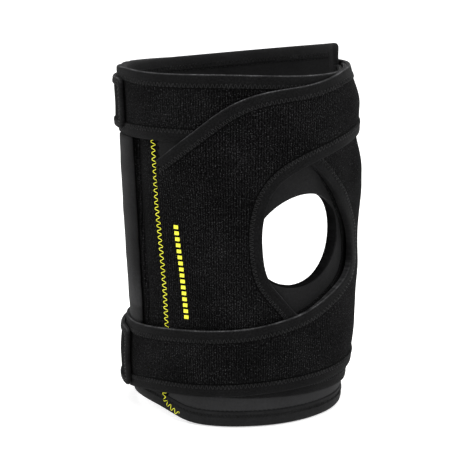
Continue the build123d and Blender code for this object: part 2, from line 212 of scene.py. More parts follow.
def ripple(x, y, size, amount):
    """Slow uneven waves of cloth, about size across."""
    wave = 0
    for i, (fx, fy) in enumerate([(1, 0.31), (-0.43, 0.87), (0.71, -0.67), (0.23, 1.13)]):
        wave = wave + np.sin((fx * x + fy * y) * 2 * math.pi / size * (1 + 0.37 * i) + 1.7 * i)
    return wave / 4 * amount


def step_up(value, low, high):
    """0 below low, 1 above high and smooth between."""
    t = np.clip((value - low) / (high - low), 0, 1)
    return t * t * (3 - 2 * t)


# Meshes


def make(name, points, faces, uv, material):
    """A smooth-shaded mesh object from points in metres, with its flat pattern as UVs."""
    mesh = bpy.data.meshes.new(name)
    mesh.from_pydata(points.tolist(), [], faces)
    layer = mesh.uv_layers.new(name="pattern")
    corners = np.zeros(len(mesh.loops), np.int32)
    mesh.loops.foreach_get("vertex_index", corners)
    layer.data.foreach_set("uv", (np.asarray(uv)[corners] / PATTERN_SCALE).astype(np.float32).ravel())
    mesh.polygons.foreach_set("use_smooth", np.ones(len(mesh.polygons), bool))
    mesh.materials.append(material)
    mesh.validate()
    piece = bpy.data.objects.new(name, mesh)
    bpy.context.scene.collection.objects.link(piece)
    return piece


def joined(name, parts, material):
    """One object from several (points, faces, uv) parts."""
    points, faces, uvs, count = [], [], [], 0
    for part_points, part_faces, part_uv in parts:
        points.append(part_points)
        uvs.append(part_uv)
        faces += [[i + count for i in face] for face in part_faces]
        count += len(part_points)
    return make(name, np.concatenate(points), faces, np.concatenate(uvs), material)


def grid_points(loops, step, areas=()):
    """Evenly spread points inside the outline, clear of its edge, closer together in some areas."""
    edge = np.concatenate(loops)
    low, high = edge.min(0), edge.max(0)
    rows = []
    for box_low, box_high, gap in [(low, high, step), *areas]:
        for i, y in enumerate(np.arange(box_low[1] + gap, box_high[1], gap * 0.87)):
            x = np.arange(box_low[0] + gap * (0.5 + i % 2 / 2), box_high[0], gap)
            if gap == step:
                for area_low, area_high, _ in areas:
                    taken = (x > area_low[0] - 1) & (x < area_high[0] + 1)
                    x = x[~(taken & (area_low[1] - 1 < y < area_high[1] + 1))]
            rows.append(np.stack([x, np.full(len(x), y)], 1))
    spread = np.concatenate(rows)
    spread = spread[inside(spread, loops)]
    far = [np.hypot(*(edge - p).T).min() > 0.6 * min(step, 2.4) for p in spread]
    return spread[np.array(far)]


def filled(inset, spread):
    """Corners and triangles that fill the inset loops, and the corner made from each given one."""
    edges, count = [], 0
    for loop in inset:
        edges += [(count + i, count + (i + 1) % len(loop)) for i in range(len(loop))]
        count += len(loop)
    given = np.concatenate([*inset, spread])
    found = delaunay_2d_cdt([Vector(point) for point in given], edges, [], 1, 1e-5)
    corners = np.array([tuple(corner) for corner in found[0]])
    placed = {old: new for new, olds in enumerate(found[3]) for old in olds}
    triangles = np.array([list(face) for face in found[2]])
    return corners, triangles[inside(corners[triangles].mean(1), inset)], placed


def rim_rows(loop, normal, bevel, radius):
    """(flat points, depths) of each row of points round a sheet's rounded rim."""
    for turn in RIM_TURNS:
        angle = math.radians(turn)
        depth = math.copysign(1, turn) * (radius - bevel) + bevel * math.sin(angle)
        yield loop + normal * bevel * (1 - math.cos(angle)), np.full(len(loop), depth)


def sheet(name, outline, offset, thickness, material, holes=(), step=3.2, areas=()):
    """A closed sheet cut to an outline, with rounded edges, its middle at an offset(x, height)."""
    loops = [outline if area_of(outline) > 0 else outline[::-1]]
    loops += [hole if area_of(hole) < 0 else hole[::-1] for hole in holes]
    radius = thickness / 2
    normals = [inwards(loop, True) for loop in loops]
    bevels = [radius] + [min(radius, HOLE_BEVEL)] * len(holes)
    inset = [loop + normal * bevel for loop, normal, bevel in zip(loops, normals, bevels)]
    corners, triangles, placed = filled(inset, grid_points(inset, step, areas))
    total = len(corners)
    flats, depths = [corners, corners], [np.full(total, radius), np.full(total, -radius)]
    faces = [*triangles.tolist(), *(triangles[:, ::-1] + total).tolist()]
    start, row_start = 0, 2 * total
    for loop, normal, bevel in zip(loops, normals, bevels):
        size = len(loop)
        edge_row = np.array([placed[start + i] for i in range(size)])
        rows = [edge_row]
        for flat_row, depth_row in rim_rows(loop, normal, bevel, radius):
            flats.append(flat_row)
            depths.append(depth_row)
            rows.append(np.arange(row_start, row_start + size))
            row_start += size
        rows.append(edge_row + total)
        for upper, lower in zip(rows, rows[1:]):
            faces += np.stack([upper, lower, np.roll(lower, -1), np.roll(upper, -1)], 1).tolist()
        start += size
    pattern = np.concatenate(flats)
    x, y = pattern.T
    points = on_leg(x, y, offset(x, y) + np.concatenate(depths))
    piece = make(name, points, faces, pattern, material)
    piece["flat_area"] = sum(area_of(loop) for loop in loops) * MM**2
    piece["flat_size"] = list((loops[0].max(0) - loops[0].min(0)) * MM)
    return piece


def wall(count, size, is_closed=False):
    """Faces between count rows of size points, with caps on an open run."""
    faces = []
    for i in range(count if is_closed else count - 1):
        a, b = i * size, (i + 1) % count * size
        for j in range(size):
            k = (j + 1) % size
            faces.append((a + j, a + k, b + k, b + j))
    if not is_closed:
        faces += [tuple(range(size - 1, -1, -1)), tuple(range((count - 1) * size, count * size))]
    return faces


def swept(path, section, offset, is_closed=False, wave=None, sink=0, behind=None):
    """(points, faces, uv) of a closed section of (inset, lift) points, swept along a path.

    Over the last sink millimetres it goes down into the sheet that it lies on, and behind(path) is
    added to its thickness on the inside.
    """
    count, size = len(path), len(section)
    along = lengths(path)
    inset, lift = np.array(section).T
    spots = path[:, None] + inwards(path, is_closed)[:, None] * inset[None, :, None]
    x, y = spots[..., 0].ravel(), spots[..., 1].ravel()
    lifts = np.tile(lift, (count, 1))
    if wave is not None:
        lifts = lifts + wave(along[:, None], inset[None]) * np.sign(lift)[None]
    if behind is not None:
        lifts = np.where(lifts < 0, lifts - behind(path)[:, None], lifts)
    if sink:
        lifts = lifts * (0.5 + 0.5 * step_up(along[-1] - along, 0, sink))[:, None]
    points = on_leg(x, y, offset(x, y) + lifts.ravel())
    uv = np.stack([np.repeat(along, size), np.tile(inset, count)], 1)
    return points, wall(count, size, is_closed), uv


def tape_section(half, width):
    """Section of binding tape folded over an edge, of (inset, lift) points."""
    outer, inner = half + TAPE, half + 0.05
    face = [(width, inner), (width, outer - 0.3), (width - 0.35, outer - 0.05), (width - 1.2, outer)]
    for share, puff in ((0.72, 0.2), (0.5, 0.7), (0.3, 1), (0.14, 0.7)):
        face.append((width * share, outer + TAPE_PUFF * puff))
    reach = outer + 0.2
    turns = np.radians([60, 30, 0, -30, -60])
    fold = [(0.9 - reach * 0.9 * math.cos(turn), reach * math.sin(turn)) for turn in turns]
    back = [(inset, -lift) for inset, lift in reversed(face)]
    core = [(0.35, -inner), (0.35, inner)]
    return face + fold + back + core


def pucker(along, inset):
    """Small gathers of tape between stitches, strongest at the stitch row."""
    row = np.exp(-(((inset - TAPE_WIDTH * 0.74) / 2.4) ** 2))
    gathers = 0.10 * np.sin(along * 2 * math.pi / STITCH_PITCH) * row
    return gathers + 0.09 * np.sin(along / 7.3 + 0.8 * np.sin(along / 17))


def binding(paths, offset, half, width=TAPE_WIDTH, **shape):
    """Parts of binding tape along open paths, whose sheet lies to their left."""
    section = tape_section(half, width)
    return [swept(path, section, offset, wave=pucker, **shape) for path in paths]


def thread_tube(path, offset, lift, thickness=THREAD, sides=6):
    """(points, faces, uv) of a thread laid on a sheet along a flat-pattern path."""
    count = len(path)
    turns = np.arange(sides) * 2 * math.pi / sides
    across, up = thickness / 2 * np.sin(turns), thickness / 2 * np.cos(turns)
    spots = path[:, None] + inwards(path)[:, None] * across[None, :, None]
    x, y = spots[..., 0].ravel(), spots[..., 1].ravel()
    rise = np.asarray(lift) * np.ones(count)
    middle = np.repeat(offset(path[:, 0], path[:, 1]), sides)
    points = on_leg(x, y, middle + (rise[:, None] + up[None]).ravel())
    uv = np.stack([np.repeat(np.arange(count) * 0.5, sides), np.tile(turns, count)], 1)
    return points, [(face[0], *face[:0:-1]) for face in wall(count, sides)], uv


def zigzag(path, inset, offset, lift, width=STITCH_WIDTH, pitch=STITCH_PITCH, thickness=THREAD):
    """Rounded zigzag stitches along a path, an inset to its left."""
    line = resampled(path, THREAD_STEP)
    line = resampled(line + inwards(line) * inset, THREAD_STEP)
    along = np.arange(len(line)) * THREAD_STEP
    swing = np.sin(along * 2 * math.pi / pitch + 0.6 * np.sin(along / 9.1))
    swing = np.sign(swing) * np.abs(swing) ** 0.8 * (1 + 0.12 * np.sin(along / 2.3))
    sewn = line + inwards(line) * (swing * width / 2)[:, None]
    dip = -0.22 * np.abs(swing) ** 6
    return thread_tube(sewn, offset, lift + dip, thickness)


def dashes(path, inset, offset, lift, length=2.6, gap=0.9, thickness=0.5):
    """Straight stitches along a path, an inset to its left."""
    line = resampled(path, 0.5)
    line = resampled(line + inwards(line) * inset, 0.5)
    parts, size, pitch = [], round(length / 0.5), round((length + gap) / 0.5)
    for start in range(0, len(line) - size, pitch):
        bit = line[start : start + size + 1]
        arch = -0.3 * (np.abs(np.linspace(-1, 1, len(bit))) ** 4)
        parts.append(thread_tube(bit, offset, lift + arch, thickness, 5))
    return parts


# Materials


class Shader:
    """A procedural material whose weave follows the flat pattern, in millimetres."""

    def __init__(self, name, **settings):
        self.material = bpy.data.materials.new(name)
        self.material.use_nodes = True
        self.tree = self.material.node_tree
        self.surface = self.tree.nodes["Principled BSDF"]
        for socket, value in settings.items():
            self.surface.inputs[socket.replace("_", " ")].default_value = value
        pattern = self.node("ShaderNodeUVMap")
        pattern.uv_map = "pattern"
        scaled = self.node("ShaderNodeVectorMath")
        scaled.operation = "SCALE"
        scaled.inputs["Scale"].default_value = PATTERN_SCALE
        self.link(pattern.outputs["UV"], scaled.inputs[0])
        self.place = scaled.outputs["Vector"]

    def node(self, kind):
        return self.tree.nodes.new(kind)

    def link(self, source, target):
        self.tree.links.new(source, target)

    def math(self, operation, first, second=None, third=None):
        """Output of a Math node whose inputs are numbers or sockets."""
        node = self.node("ShaderNodeMath")
        node.operation = operation
        for socket, value in zip(node.inputs, (first, second, third)):
            if isinstance(value, (int, float)):
                socket.default_value = value
            elif value is not None:
                self.link(value, socket)
        return node.outputs[0]

    def mix(self, *weighted, start=0.0):
        """Weighted sum of (socket, weight) pairs."""
        total = start
        for value, weight in weighted:
            total = self.math("MULTIPLY_ADD", value, weight, total)
        return total

    def axis(self, index, vector=None):
        """Place across the pattern (0) or up it (1), or an axis of another vector."""
        node = self.node("ShaderNodeSeparateXYZ")
        self.link(vector or self.place, node.inputs[0])
        return node.outputs[index]

    def noise(self, size, detail=3.0, roughness=0.55, stretch=(1, 1, 1)):
        """Noise from 0 to 1 whose spots are about size across."""
        mapping = self.node("ShaderNodeMapping")
        mapping.inputs["Scale"].default_value = [s / size for s in stretch]
        self.link(self.place, mapping.inputs["Vector"])
        node = self.node("ShaderNodeTexNoise")
        for socket, value in (("Scale", 1), ("Detail", detail), ("Roughness", roughness)):
            node.inputs[socket].default_value = value
        self.link(mapping.outputs["Vector"], node.inputs["Vector"])
        return node.outputs["Fac"]

    def ribs(self, pitch, index, sway=0.0, spots=6.0):
        """Ribs from 0 to 1 across one axis of the pattern, swaying a little."""
        at = self.axis(index)
        if sway:
            drift = self.math("MULTIPLY", self.math("SUBTRACT", self.noise(spots), 0.5), sway)
            at = self.math("ADD", at, drift)
        turn = self.math("MULTIPLY", at, 2 * math.pi / pitch)
        return self.math("MULTIPLY_ADD", self.math("SINE", turn), 0.5, 0.5)

    def span(self, value, low, high, out_low=0.0, out_high=1.0):
        """The value's range from low to high, spread over another range."""
        node = self.node("ShaderNodeMapRange")
        for socket, number in zip(list(node.inputs)[1:5], (low, high, out_low, out_high)):
            socket.default_value = number
        self.link(value, node.inputs[0])
        return node.outputs[0]

    def colour(self, factor, stops):
        """Base colour from (place, tint) stops, where a tint is a grey level or a colour."""
        ramp = self.node("ShaderNodeValToRGB")
        while len(ramp.color_ramp.elements) < len(stops):
            ramp.color_ramp.elements.new(0.5)
        for element, (place, tint) in zip(ramp.color_ramp.elements, stops):
            element.position = place
            grey = isinstance(tint, (int, float))
            element.color = (tint, tint, tint * 1.03, 1) if grey else (*tint, 1)
        self.link(factor, ramp.inputs["Fac"])
        self.link(ramp.outputs["Color"], self.surface.inputs["Base Color"])

    def rough(self, factor, low, high):
        self.link(self.span(factor, 0, 1, low, high), self.surface.inputs["Roughness"])

    def bump(self, height, depth, strength=1.0):
        """Relief of a height from 0 to 1, depth millimetres deep."""
        node = self.node("ShaderNodeBump")
        node.inputs["Distance"].default_value = depth * MM
        node.inputs["Strength"].default_value = strength
        self.link(height, node.inputs["Height"])
        self.link(node.outputs["Normal"], self.surface.inputs["Normal"])


def loop_fabric():
    """Brushed loop fabric: fine upright ribs under a fuzz of tiny loops, some lit as painted glints."""
    s = Shader("loop_fabric", Sheen_Weight=0.005, Sheen_Roughness=0.5, Specular_IOR_Level=0.012)
    ribs = s.ribs(1.65, 0, sway=1.2, spots=6)
    fuzz = s.noise(0.62, 2, 0.7)
    tufts = s.noise(1.5, 3, 0.7, (1.2, 0.8, 1))
    broad = s.noise(34, 2)
    # painted glints: lighter specks in the colour where loops catch light
    loops = s.span(s.noise(0.75, 1, 0.5), 0.54, 0.74)
    s.bump(s.mix((tufts, 0.5), (ribs, 0.2), (fuzz, 0.5)), 0.8)
    shade = s.mix((tufts, 0.5), (ribs, 0.11), (fuzz, 0.34), (broad, 0.2), (loops, 0.32))
    s.colour(shade, [(0.38, 0.0002), (0.54, 0.0014), (0.71, 0.008), (0.95, 0.045)])
    s.rough(tufts, 0.85, 1.0)
    return s.material


def neoprene_jersey():
    """Smooth knitted jersey laminated to neoprene: fine wales, uneven, and paler low down as painted
    light.
    """
    s = Shader("neoprene_jersey", Sheen_Weight=0.01, Sheen_Roughness=0.4, Specular_IOR_Level=0.04)
    wales = s.ribs(0.75, 0, sway=0.3, spots=4)
    courses = s.ribs(0.6, 1, sway=0.2, spots=4)
    knit = s.math("MULTIPLY", wales, courses)
    pores = s.noise(1.9, 4, 0.75)
    broad = s.noise(26, 3)
    s.bump(s.mix((pores, 0.7), (knit, 0.3)), 0.22)
    height = s.axis(1)
    # painted light: paler towards the bottom of the base, and a little paler on the binding tapes that
    # use this material
    painted_low_light = s.math("MINIMUM", s.span(height, 42, 20, 0.0, 0.34), s.span(height, 10, 13, 0.08, 0.34))
    shade = s.math("ADD", s.mix((pores, 0.55), (broad, 0.35), (knit, 0.15)), painted_low_light)
    s.colour(shade, [(0.28, 0.0045), (0.53, 0.0095), (0.78, 0.020), (1.0, 0.028)])
    s.rough(pores, 0.55, 0.78)
    return s.material


def binding_tape():
    """Stretch binding tape: cross threads, soft sheen, a painted highlight along the fold of its edge,
    and painted shade in the crease at its inner edge.
    """
    s = Shader("binding_tape", Sheen_Weight=0.01, Sheen_Roughness=0.35, Specular_IOR_Level=0.03)
    threads = s.ribs(0.8, 0, sway=0.3, spots=5)
    fuzz = s.noise(1.2, 4, 0.8)
    patches = s.noise(14, 3)
    inset = s.axis(1)
    # painted highlight: the fold along the edge is coloured lighter, most where it faces up
    fold = s.math("MULTIPLY", s.span(inset, 1.0, 0.2), s.span(inset, -0.75, -0.3))
    wear_and_painted_highlight = s.math("MULTIPLY", fold, s.span(patches, 0.3, 0.6, 0.5, 1.0))
    facing_up = s.axis(2, s.node("ShaderNodeNewGeometry").outputs["Normal"])
    wear_and_painted_highlight = s.math("MULTIPLY", wear_and_painted_highlight, s.span(facing_up, 0.25, 0.8, 0.12, 0.9))
    # painted shade: a dark line in the crease where the tape's edge meets the sheet
    holes = s.span(s.math("ABSOLUTE", s.math("SUBTRACT", inset, 8.7)), 0.1, 0.5, 0.0, 1.0)
    s.bump(s.mix((fuzz, 0.7), (threads, 0.3)), 0.4)
    shade = s.mix((fuzz, 0.9), (threads, 0.08), (patches, 0.16), (wear_and_painted_highlight, 0.55), start=-0.2)
    shade = s.math("MULTIPLY", shade, holes)
    s.colour(shade, [(0.1, 0.0006), (0.3, 0.0034), (0.5, 0.0092), (0.75, 0.036), (1.0, 0.14)])
    s.rough(fuzz, 0.6, 0.9)
    return s.material


def ring_fabric():
    """Brushed lining over the patella ring's foam, dark partly in its own colour and partly as painted
    shade on the hole's wall.
    """
    s = Shader("ring_fabric", Specular_IOR_Level=0.005)
    nap = s.noise(1.1, 3, 0.65)
    broad = s.noise(12, 2)
    s.bump(nap, 0.4)
    s.colour(s.mix((nap, 0.6), (broad, 0.4)), [(0.3, 0.0012), (0.8, 0.008)])
    s.rough(nap, 0.8, 1.0)
    return s.material


def sewing_thread(name, tints, sheen, gloss):
    """Twisted polyester thread, paler where it is worn."""
    s = Shader(name, Sheen_Weight=sheen, Sheen_Roughness=0.3, Specular_IOR_Level=0.15)
    twist = s.ribs(1.0, 0, sway=0.4, spots=2)
    fibres = s.noise(0.6, 2)
    worn = s.span(s.noise(11, 3, 0.7), 0.35, 0.65)
    s.bump(s.mix((fibres, 0.4), (twist, 0.6)), 0.12)
    s.colour(s.mix((fibres, 0.3), (twist, 0.3), (worn, 0.4)), tints)
    s.rough(fibres, gloss, gloss + 0.2)
    return s.material


def yellow_print():
    """Rubbery transfer print, a little cracked and worn."""
    s = Shader("yellow_print", Specular_IOR_Level=0.4)
    grain = s.noise(0.8, 3, 0.7)
    wear_and_painted_highlight = s.noise(3.5, 3, 0.6)
    s.bump(grain, 0.12)
    s.colour(s.mix((wear_and_painted_highlight, 0.6), (grain, 0.4)), PRINT_TINTS)
    s.rough(grain, 0.45, 0.65)
    return s.material


def hook_tape():
    """Moulded hook tape: a field of tiny stiff hooks in rows."""
    s = Shader("hook_tape", Specular_IOR_Level=0.5)
    rows, posts = s.ribs(1.3, 0), s.ribs(1.1, 1)
    dots = s.math("MULTIPLY", rows, posts)
    grain = s.noise(0.5, 2)
    s.bump(s.mix((grain, 0.2), (dots, 0.8)), 0.6)
    s.colour(s.mix((grain, 0.4), (dots, 0.6)), [(0.1, 0.006), (0.9, 0.035)])
    s.rough(dots, 0.6, 0.35)
    return s.material


def spring_steel():
    """Bright plated spring wire with fine drawing marks."""
    s = Shader("spring_steel", Metallic=1.0)
    marks = s.noise(0.7, 3, 0.6, (0.2, 3, 1))
    s.bump(marks, 0.03)
    s.colour(marks, [(0.2, 0.38), (0.8, 0.56)])
    s.rough(marks, 0.22, 0.42)
    return s.material


LOOP = loop_fabric()
JERSEY = neoprene_jersey()
BOUND = binding_tape()
RING = ring_fabric()
BLACK_TINTS = [(0.2, 0.0015), (0.55, 0.006), (0.85, 0.02)]
DARK_TINTS = [(0.2, 0.0004), (0.9, 0.0025)]
YELLOW_TINTS = [(0.2, (0.6, 0.58, 0.02)), (0.5, (0.88, 0.87, 0.04)), (0.9, (0.95, 0.95, 0.12))]
PRINT_TINTS = [(0.2, (0.62, 0.6, 0.02)), (0.5, (0.86, 0.84, 0.03)), (0.8, (0.93, 0.92, 0.08))]
BLACK_THREAD = sewing_thread("black_thread", BLACK_TINTS, sheen=0.01, gloss=0.45)
DARK_THREAD = sewing_thread("dark_thread", DARK_TINTS, sheen=0.005, gloss=0.6)
YELLOW_THREAD = sewing_thread("yellow_thread", YELLOW_TINTS, sheen=0.1, gloss=0.4)
PRINT = yellow_print()
HOOKS = hook_tape()
STEEL = spring_steel()


# Pieces


def stands_for(nodes):
    """The piece is drawn in place of these CAD nodes."""
    if nodes:
        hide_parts(*nodes)


def bends(piece, *nodes, slot="binding_tape"):
    """The piece's transform is baked into its mesh, and it is drawn in place of these CAD nodes."""
    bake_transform(piece)
    stands_for(nodes)


def rides(piece, body, *nodes, slot="binding_tape"):
    """The piece moves with one body."""
    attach(piece, body)
    stands_for(nodes)


# Neoprene base: one sheet, from the medial edge across the front and on behind as two flaps

BASE_FOOT, FLAP_FOOT = 1.7, 2  # heights of the bottom edge in front and behind
FRONT_RIM = FRONT_TOP - 1
FLAP_TURN = FLAP_END + 7  # where the flap's top begins to turn its corner
FLAP_SIDE_TOP = 222
FLAP_CORNER_RADIUS, POPLITEAL_RADIUS = 5, 16


def rim_height(angle):
    """Top of the thigh flap, which slants behind the leg."""
    turn, radius = np.radians(angle), BOTTOM_RADIUS + TAPER * 250
    return 251.4 + 0.042 * radius * np.sin(turn) + 0.095 * radius * np.cos(turn)


BASE_BOTTOM = smooth(
    [(FLAP_END, FLAP_FOOT), (-250, FLAP_FOOT), (-200, 4), (-150, 7.5), (-118, 9.3), (-97, 10.2)]
    + [(-79, 8.8), (-70, 6.2), (-62, 3.4), (-54, 2)]
    + [(angle, BASE_FOOT) for angle in (-42, 0, 45, REAR_MEDIAL)]
)
BASE_TOP = smooth(
    [(REAR_MEDIAL, FRONT_RIM), (0, FRONT_RIM), (-95, FRONT_RIM), (-108, FRONT_TOP)]
    + [(angle, rim_height(angle)) for angle in (*range(-125, -246, -20), FLAP_TURN)]
)
flap_turn = [(angle, rim_height(angle)) for angle in (FLAP_TURN, FLAP_END)]
FLAP_CORNER = rounded([*flap_turn, (FLAP_END, FLAP_SIDE_TOP)], FLAP_CORNER_RADIUS)
above = [(FLAP_END, THIGH_FLAP_LOW), (REAR_LATERAL, THIGH_FLAP_LOW)]
below = [(REAR_LATERAL, CALF_FLAP_TOP), (FLAP_END, CALF_FLAP_TOP)]
POPLITEAL_EDGE = rounded(above + below, POPLITEAL_RADIUS)
BASE_OUTLINE = closed(
    BASE_BOTTOM,
    upright(REAR_MEDIAL, BASE_FOOT, FRONT_RIM),
    BASE_TOP,
    FLAP_CORNER[1:],
    upright(FLAP_END, FLAP_SIDE_TOP, THIGH_FLAP_LOW),
    POPLITEAL_EDGE,
    upright(FLAP_END, CALF_FLAP_TOP, FLAP_FOOT),
)

HOLE_X, HOLE_HEIGHT, HOLE_HALF_WIDTH, HOLE_HALF_HEIGHT, HOLE_LEAN = 3.2, 130, 35, 32.2, 0.1
HOLE_POINTS = 150


def hole_loop(wider=0, taller=0):
    """The patella hole, an ellipse as seen from the front."""
    turn = np.linspace(0, 2 * math.pi, HOLE_POINTS, endpoint=False)
    rise = (HOLE_HALF_HEIGHT + taller) * np.sin(turn)
    across = HOLE_X + HOLE_LEAN * rise + (HOLE_HALF_WIDTH + wider) * np.cos(turn)
    height = HOLE_HEIGHT + rise
    return np.stack([np.arcsin(across / (BOTTOM_RADIUS + TAPER * height)) * REF_RADIUS, height], 1)


GROOVE_LOW, GROOVE_HIGH, GROOVE_END = 66, 205, 215
GROOVE_LINE = [(-89.5, GROOVE_HIGH), (-89.3, 154), (-87.6, 113), (-86.6, GROOVE_LOW)]


def groove(x, y):
    """Depth of the crease beside the lateral stay channel, wide and deep at its top."""
    line = flat(GROOVE_LINE)[::-1]
    ends = [GROOVE_LOW, GROOVE_HIGH]
    away = x - np.interp(y, line[:, 1], line[:, 0])
    width, reach = np.interp(y, ends, [1.4, 2.6]), np.interp(y, ends, [5, 15])
    depth = np.interp(y, [60, 80, GROOVE_HIGH], [0, 1.9, 2.9])
    wall = np.exp(-((np.minimum(away, 0) / width) ** 4))
    return depth * wall * np.clip(1 - away / reach, 0, 1) ** 1.5 * (y < GROOVE_END)


def base_face(x, y):
    """Outer face of the neoprene."""
    return ripple(x, y, 70, 0.25)


def base_offset(x, y):
    """Middle of the neoprene."""
    return base_face(x, y) - NEOPRENE / 2


def creased_offset(x, y):
    """Middle of the neoprene, with the crease beside the channel."""
    return base_offset(x, y) - groove(x, y)


crease_area = (*flat([(-94, 62), (-82, 212)]), 1.1)
base_cut = {"holes": [hole_loop()], "areas": [crease_area]}
neoprene_base = sheet("neoprene_base", BASE_OUTLINE, creased_offset, NEOPRENE, JERSEY, **base_cut)

# painted shade: between these angles the base's outer face takes the dark loop fabric, for the shadow
# around the lateral stay channel
SHADED_FROM, SHADED_TO = REAR_LATERAL - 1, -71.5


def shade_with_loop_fabric(piece):
    """Dark loop fabric on the outside of the base, from the lateral panel back to the popliteal edge, as
    painted shade around the lateral stay channel and its crease.
    """
    piece.data.materials.append(LOOP)
    for face in piece.data.polygons:
        x, y, z = face.center
        if SHADED_FROM < math.degrees(math.atan2(x, -y)) < SHADED_TO and z < FRONT_TOP * MM:
            face.material_index = int(face.normal.x * x + face.normal.y * y > 0)


shade_with_loop_fabric(neoprene_base)

half_base = NEOPRENE / 2
BASE_FACE = half_base + TAPE + THREAD_RISE
RIM_STITCH, POPLITEAL_STITCH = 6.4, 4.8  # from the edge to the middle of the stitches
HEM_WIDTH, POPLITEAL_TAPE = 10, 7
flap_from = int(np.argmax(BASE_TOP[:, 0] < flat([(-97, 0)])[0, 0]))
flap_top = BASE_TOP[flap_from:]
front_hem = BASE_BOTTOM[BASE_BOTTOM[:, 0] > flat([(-60, 0)])[0, 0]]
medial_side = upright(REAR_MEDIAL, 12, FRONT_TOP - 2)

hem = binding([BASE_BOTTOM], base_offset, half_base, HEM_WIDTH)
bottom_binding = joined("bottom_rim_binding", hem, JERSEY)
rim = np.concatenate([flap_top, FLAP_CORNER[1:]])
top_binding = joined("top_rim_binding", binding([rim], base_offset, half_base), JERSEY)
edging = binding([POPLITEAL_EDGE, medial_side], base_offset, half_base, POPLITEAL_TAPE)
popliteal_binding = joined("popliteal_binding", edging, BOUND)
# The hem's stitches use a very dark thread: partly the thread's own colour and partly painted shade, for
# the dark needle holes and the dark line along the top of the tape
bottom_rows = [zigzag(BASE_BOTTOM, RIM_STITCH, base_offset, BASE_FACE, width=2.2, pitch=2.7)]
bottom_rows += dashes(front_hem, 10.4, base_offset, half_base + 0.05)
bottom_stitches = joined("bottom_rim_stitches", bottom_rows, DARK_THREAD)
top_rows = [zigzag(flap_top, RIM_STITCH, base_offset, side * BASE_FACE) for side in (1, -1)]
top_rows += dashes(flap_top, 9.5, base_offset, -half_base - 0.05)
top_stitches = joined("top_rim_stitches", top_rows, BLACK_THREAD)
popliteal_row = zigzag(POPLITEAL_EDGE, POPLITEAL_STITCH, base_offset, BASE_FACE, width=2.8)
popliteal_stitches = joined("popliteal_stitches", [popliteal_row], BLACK_THREAD)

base_nodes = ("calf_front", "thigh_front", "calf_flap", "thigh_flap", "knee_gusset")
bends(neoprene_base, *base_nodes, slot="neoprene_jersey")
rides(bottom_binding, "calf", "calf_front_binding", "calf_flap_binding")
rides(bottom_stitches, "calf")
rides(top_binding, "thigh", "thigh_flap_binding")
rides(top_stitches, "thigh")
bends(popliteal_binding)
bends(popliteal_stitches)
base_trim = [bottom_binding, top_binding, popliteal_binding]
base_trim += [bottom_stitches, top_stitches, popliteal_stitches]


# Pads: the patella ring behind the edge of the hole, and the stay channels

PAD_POINTS = 20
PAD_PRESSURE, PAD_FRAMES, PAD_MASS, PAD_QUALITY = 4.0, 20, 0.02, 6


def pad_section(half_width, lift, half_height, power=2.6):
    """Rounded section of a stuffed tube, of (inset, lift) points."""
    turns = np.linspace(0, 2 * math.pi, PAD_POINTS, endpoint=False)
    c, s = np.cos(turns), np.sin(turns)
    across = half_width * np.sign(c) * np.abs(c) ** (2 / power)
    return np.stack([across, lift + half_height * np.sign(s) * np.abs(s) ** (2 / power)], 1)


def filling_cloth(piece):
    """A cloth modifier that blows the piece up, with its group named sewn held."""
    cloth = piece.modifiers.new("filling", "CLOTH")
    cloth.settings.vertex_group_mass = "sewn"
    cloth.settings.quality = PAD_QUALITY
    cloth.settings.mass = PAD_MASS
    cloth.settings.use_pressure = True
    cloth.settings.uniform_pressure_force = PAD_PRESSURE
    cloth.settings.effector_weights.gravity = 0
    cloth.point_cache.frame_start, cloth.point_cache.frame_end = 1, PAD_FRAMES
    return cloth


def plumped(piece, sewn, cap):
    """Fill a pad with a short cloth simulation under pressure, no point moving more than cap.

    The points in sewn stay where they are.
    """
    scene = bpy.context.scene
    rest = np.zeros(len(piece.data.vertices) * 3)
    piece.data.vertices.foreach_get("co", rest)
    group = piece.vertex_groups.new(name="sewn")
    group.add(np.flatnonzero(sewn).tolist(), 1, "REPLACE")
    cloth = filling_cloth(piece)
    for step in range(1, PAD_FRAMES + 1):
        scene.frame_set(step)
    shaped = piece.evaluated_get(bpy.context.evaluated_depsgraph_get()).to_mesh()
    moved = np.zeros(len(rest))
    shaped.vertices.foreach_get("co", moved)
    move = (moved - rest).reshape(-1, 3)
    reach = np.linalg.norm(move, axis=1, keepdims=True)
    move *= np.minimum(1, cap * MM / np.maximum(reach, 1e-9))
    piece.modifiers.remove(cloth)
    piece.vertex_groups.remove(group)
    piece.data.vertices.foreach_set("co", rest + move.ravel())
    piece.data.update()
    scene.frame_set(1)


def level(x, y):
    """The reference face of the flat pattern, without waves."""
    return 0 * x


# A foam pad behind the edge of the hole, and a collar that lines the cut neoprene, dark partly in its
# own colour and partly as painted shade on the hole's wall
RING_COLLAR = [(1.1, -3.7), (0.95, -1.2), (0.6, -0.8), (0.2, -0.85), (0.0, -1.3), (-0.35, -3.0)]
RING_FOAM = [(-0.45, -4.8), (-0.2, -6.6), (0.5, -7.5), (1.8, -7.9), (6.0, -8.0), (10.4, -7.4)]
RING_SECTION = [(12.0, -5.6), (11.5, -4.3), (10.4, -3.75), *RING_COLLAR, *RING_FOAM, (11.6, -6.7)]
RING_SEWN_ABOVE, RING_CAP = -4.5, 0.5
ring_loop = hole_loop(-1, 0.3)[::-1] + (0, 1.0)
patella_ring = joined("patella_ring_pad", [swept(ring_loop, RING_SECTION, level, True)], RING)
ring_sewn = [lift > RING_SEWN_ABOVE for _, lift in RING_SECTION]
plumped(patella_ring, np.tile(ring_sewn, len(ring_loop)), RING_CAP)
bends(patella_ring, "patella_ring", slot="ring_foam")

CHANNEL_CAP = 0.6


